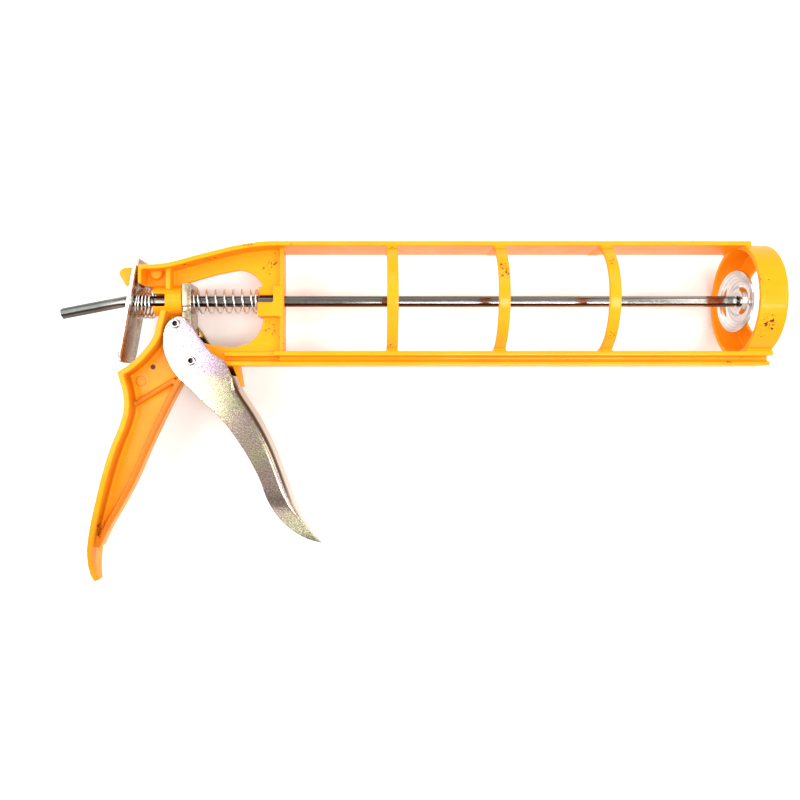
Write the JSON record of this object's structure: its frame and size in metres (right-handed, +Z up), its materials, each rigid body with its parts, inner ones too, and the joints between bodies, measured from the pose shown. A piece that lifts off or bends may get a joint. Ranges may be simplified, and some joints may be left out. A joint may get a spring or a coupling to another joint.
{
  "type": "caulking gun",
  "caption": "Skeleton caulking gun: a moulded bay with hoops and a front ring, a hexagonal push rod with a piston, and a trigger that drives a thrust plate against a spring",
  "frame": {"origin": "The middle of the bounding box's underside, with the gun lying on its side on the front ring.", "axes": "+X runs forward along the push rod to the front ring, +Y points away from the handle, and +Z is up, towards the side the hoops bulge to."},
  "size_m": [0.3558, 0.17, 0.056],
  "materials": {
    "orange_plastic": "injection-moulded orange-yellow plastic with a soft gloss",
    "chrome_rod": "bright chrome plating",
    "bright_steel": "bright zinc-plated steel",
    "spring_steel": "plated spring wire",
    "zinc_steel": "yellow-passivated zinc plate with an iridescent bloom"
  },
  "bodies": {
    "frame": {"frame": "orange_plastic", "return_spring": "spring_steel", "release_spring": "spring_steel"},
    "trigger": {"trigger": "zinc_steel", "pivot_pin": "bright_steel", "pusher_pin": "bright_steel"},
    "pusher_sleeve": {"pusher_sleeve": "bright_steel"},
    "thrust_plate": {"thrust_plate": "bright_steel"},
    "release_plate": {"release_plate": "bright_steel"},
    "rod": {"push_rod": "chrome_rod"},
    "piston": {"piston_disc": "chrome_rod", "piston_washer": "bright_steel"}
  },
  "joints": [
    {"name": "trigger_pull", "type": "hinge", "parent": "frame", "child": "trigger", "pos_m": [-0.10939, 0.02615, 0.028], "axis": [0, 0, -1], "range_deg": [0, 40], "stiffness_Nm_per_rad": 0.25, "springref_deg": -14.32},
    {"name": "thrust_travel", "type": "slide", "parent": "frame", "child": "thrust_plate", "axis": [1, 0, 0], "range_m": [0, 0.0139], "deforming": ["return_spring"]},
    {"name": "sleeve_roll", "type": "hinge", "parent": "trigger", "child": "pusher_sleeve", "pos_m": [-0.11719, 0.04445, 0.028], "axis": [0, 0, 1], "continuous": true},
    {"name": "release_press", "type": "hinge", "parent": "frame", "child": "release_plate", "pos_m": [-0.13713, 0.07045, 0.028], "axis": [0, 0, 1], "range_deg": [0, 5], "stiffness_Nm_per_rad": 0.2, "springref_deg": -8.59, "deforming": ["release_spring"]},
    {"name": "rod_slide", "type": "slide", "parent": "frame", "child": "rod", "axis": [1, 0, 0], "range_m": [-0.222, 0.003]},
    {"name": "piston_spin", "type": "hinge", "parent": "rod", "child": "piston", "pos_m": [0.16471, 0.05675, 0.028], "axis": [1, 0, 0], "continuous": true}
  ],
  "couplings": [
    {"joint": "thrust_travel", "follows": "trigger_pull", "m_per_rad": 0.01977}
  ]
}
